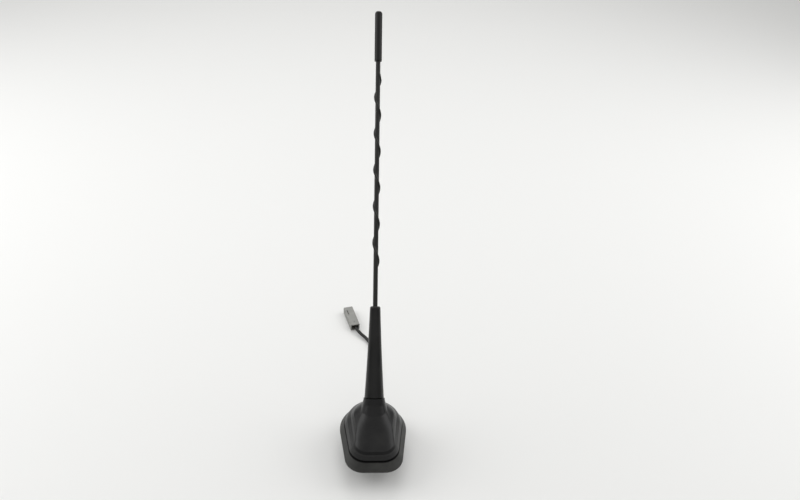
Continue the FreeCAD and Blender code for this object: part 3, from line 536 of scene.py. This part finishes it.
lead_line.use_fill_caps = True
spline = lead_line.splines.new("NURBS")
spline.points.add(len(lead_points) - 1)
for point, place in zip(spline.points, lead_points):
    point.co = (*place, 1.0)
spline.order_u = 3
spline.use_endpoint_u = True
lead_line.materials.append(jacket.material)
lead = bpy.data.objects.new("lead", lead_line)
bpy.context.scene.collection.objects.link(lead)
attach(lead, "base")
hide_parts("cable")
jacket.coat("cable")


# Plug
# A grey moulded plug body with a latch slot along its top, a dark locking frame at its cable end,
# and a round contact in its mouth whose tin plating has gone dull, as has the crimp on the lead.

plug_plastic = Finish("plug_plastic", 0.5)
skin = plug_plastic.use(skin_group, Grain_Scale=2400.0, Patch_Scale=160.0)
plug_plastic.colour(plug_plastic.mix(skin.outputs["Patches"], (0.22, 0.22, 0.208), (0.29, 0.29, 0.273)))
plug_plastic.gloss(skin.outputs["Patches"], 0.42, 0.58)
plug_plastic.bump(skin.outputs["Grain"], 0.00005)
plug_plastic.coat("plug_housing")

lock_plastic = Finish("lock_plastic", 0.5)
skin = lock_plastic.use(skin_group, Grain_Scale=2600.0, Patch_Scale=260.0)
lock_plastic.colour(lock_plastic.mix(skin.outputs["Patches"], (0.05, 0.05, 0.05), (0.09, 0.09, 0.085)))
lock_plastic.gloss(skin.outputs["Patches"], 0.42, 0.58)
lock_plastic.bump(skin.outputs["Grain"], 0.00005)
lock_plastic.coat("plug_retainer")

dull_tin = Finish("dull_tin", 0.5, metallic=1.0)
drawn = dull_tin.use(metal_group, Line_Scale=1100.0, Patch_Scale=320.0)
dull_tin.colour(dull_tin.mix(drawn.outputs["Patches"], (0.06, 0.052, 0.038), (0.12, 0.104, 0.075)))
dull_tin.gloss(drawn.outputs["Patches"], 0.42, 0.58)
dull_tin.bump(drawn.outputs["Lines"], 0.000008)
dull_tin.coat("plug_contact", "plug_ferrule")


# Floor, light and camera
# A plain pale table with soft panels on both sides of the object and one behind it, and the
# camera where the photograph was taken from, in front of the base and looking down at it.

FLOOR_Z = -0.0181
FLOOR_SIZE = 3.6
bpy.ops.mesh.primitive_plane_add(size=FLOOR_SIZE, location=(0.0, 0.0, FLOOR_Z))
floor = bpy.context.object
floor.name = "table"
table = Finish("pale_table", 0.6)
table.shader.inputs["Base Color"].default_value = (0.82, 0.82, 0.81, 1.0)
from_below = table.tree.nodes.new("ShaderNodeNewGeometry")
clear = table.tree.nodes.new("ShaderNodeBsdfTransparent")
one_sided = table.tree.nodes.new("ShaderNodeMixShader")
table.tree.links.new(from_below.outputs["Backfacing"], one_sided.inputs["Fac"])
table.tree.links.new(table.shader.outputs["BSDF"], one_sided.inputs[1])
table.tree.links.new(clear.outputs["BSDF"], one_sided.inputs[2])
table.tree.links.new(one_sided.outputs["Shader"], table.tree.nodes["Material Output"].inputs["Surface"])
floor.data.materials.append(table.material)

SKY_LOW = 0.05
SKY_HIGH = 0.7
GLOW_LOW = 0.03
GLOW_HIGH = 0.72
world = bpy.data.worlds.new("studio")
bpy.context.scene.world = world
world.use_nodes = True
sky = world.node_tree.nodes["Background"]
sky.inputs["Color"].default_value = (1.0, 1.0, 0.99, 1.0)
sky_side = world.node_tree.nodes.new("ShaderNodeTexCoord")
sky_height = world.node_tree.nodes.new("ShaderNodeSeparateXYZ")
world.node_tree.links.new(sky_side.outputs["Generated"], sky_height.inputs["Vector"])
glow = spread(world.node_tree, sky_height.outputs["Z"], SKY_LOW, SKY_HIGH, GLOW_LOW, GLOW_HIGH)
world.node_tree.links.new(glow, sky.inputs["Strength"])
backdrop = world.node_tree.nodes.new("ShaderNodeBackground")
backdrop.inputs["Color"].default_value = (0.9, 0.9, 0.89, 1.0)
seen = world.node_tree.nodes.new("ShaderNodeLightPath")
either = world.node_tree.nodes.new("ShaderNodeMixShader")
world.node_tree.links.new(seen.outputs["Is Camera Ray"], either.inputs["Fac"])
world.node_tree.links.new(sky.outputs["Background"], either.inputs[1])
world.node_tree.links.new(backdrop.outputs["Background"], either.inputs[2])
world.node_tree.links.new(either.outputs["Shader"], world.node_tree.nodes["World Output"].inputs["Surface"])


def soft_panel(name, place, aim, size, watts):
    """A square soft light that looks at a point."""
    lamp = bpy.data.lights.new(name, "AREA")
    lamp.shape = "SQUARE"
    lamp.size = size
    lamp.energy = watts
    panel = bpy.data.objects.new(name, lamp)
    panel.location = place
    panel.rotation_euler = (Vector(aim) - Vector(place)).to_track_quat("-Z", "Y").to_euler()
    bpy.context.scene.collection.objects.link(panel)


BASE_MIDDLE = (0.0, 0.0, 0.03)
soft_panel("left_panel", (-1.1, 0.35, 0.75), BASE_MIDDLE, size=0.9, watts=7.0)
soft_panel("right_panel", (1.1, 0.35, 0.75), BASE_MIDDLE, size=0.9, watts=5.5)
soft_panel("rear_panel", (0.0, 1.3, 1.3), BASE_MIDDLE, size=1.2, watts=6.0)

CAMERA_PLACE = Vector((-0.030353, -0.482751, 0.559917))
CAMERA_AZIMUTH = math.radians(5.202)
CAMERA_ELEVATION = math.radians(35.311)
CAMERA_ROLL = math.radians(3.804)
FOCAL_LENGTH = 34.2
SENSOR_WIDTH = 36.0
ahead = Vector((
    math.sin(CAMERA_AZIMUTH) * math.cos(CAMERA_ELEVATION),
    math.cos(CAMERA_AZIMUTH) * math.cos(CAMERA_ELEVATION),
    -math.sin(CAMERA_ELEVATION)))
level = Vector((math.cos(CAMERA_AZIMUTH), -math.sin(CAMERA_AZIMUTH), 0.0))
above = level.cross(ahead)
right = level * math.cos(CAMERA_ROLL) + above * math.sin(CAMERA_ROLL)
upright = above * math.cos(CAMERA_ROLL) - level * math.sin(CAMERA_ROLL)
lens = bpy.data.cameras.new("camera")
lens.sensor_fit = "HORIZONTAL"
lens.sensor_width = SENSOR_WIDTH
lens.lens = FOCAL_LENGTH
camera = bpy.data.objects.new("camera", lens)
bpy.context.scene.collection.objects.link(camera)
turn = Matrix((right, upright, -ahead)).transposed()
camera.matrix_world = Matrix.Translation(CAMERA_PLACE) @ turn.to_4x4()
bpy.context.scene.camera = camera
bpy.context.scene.view_settings.view_transform = "Standard"
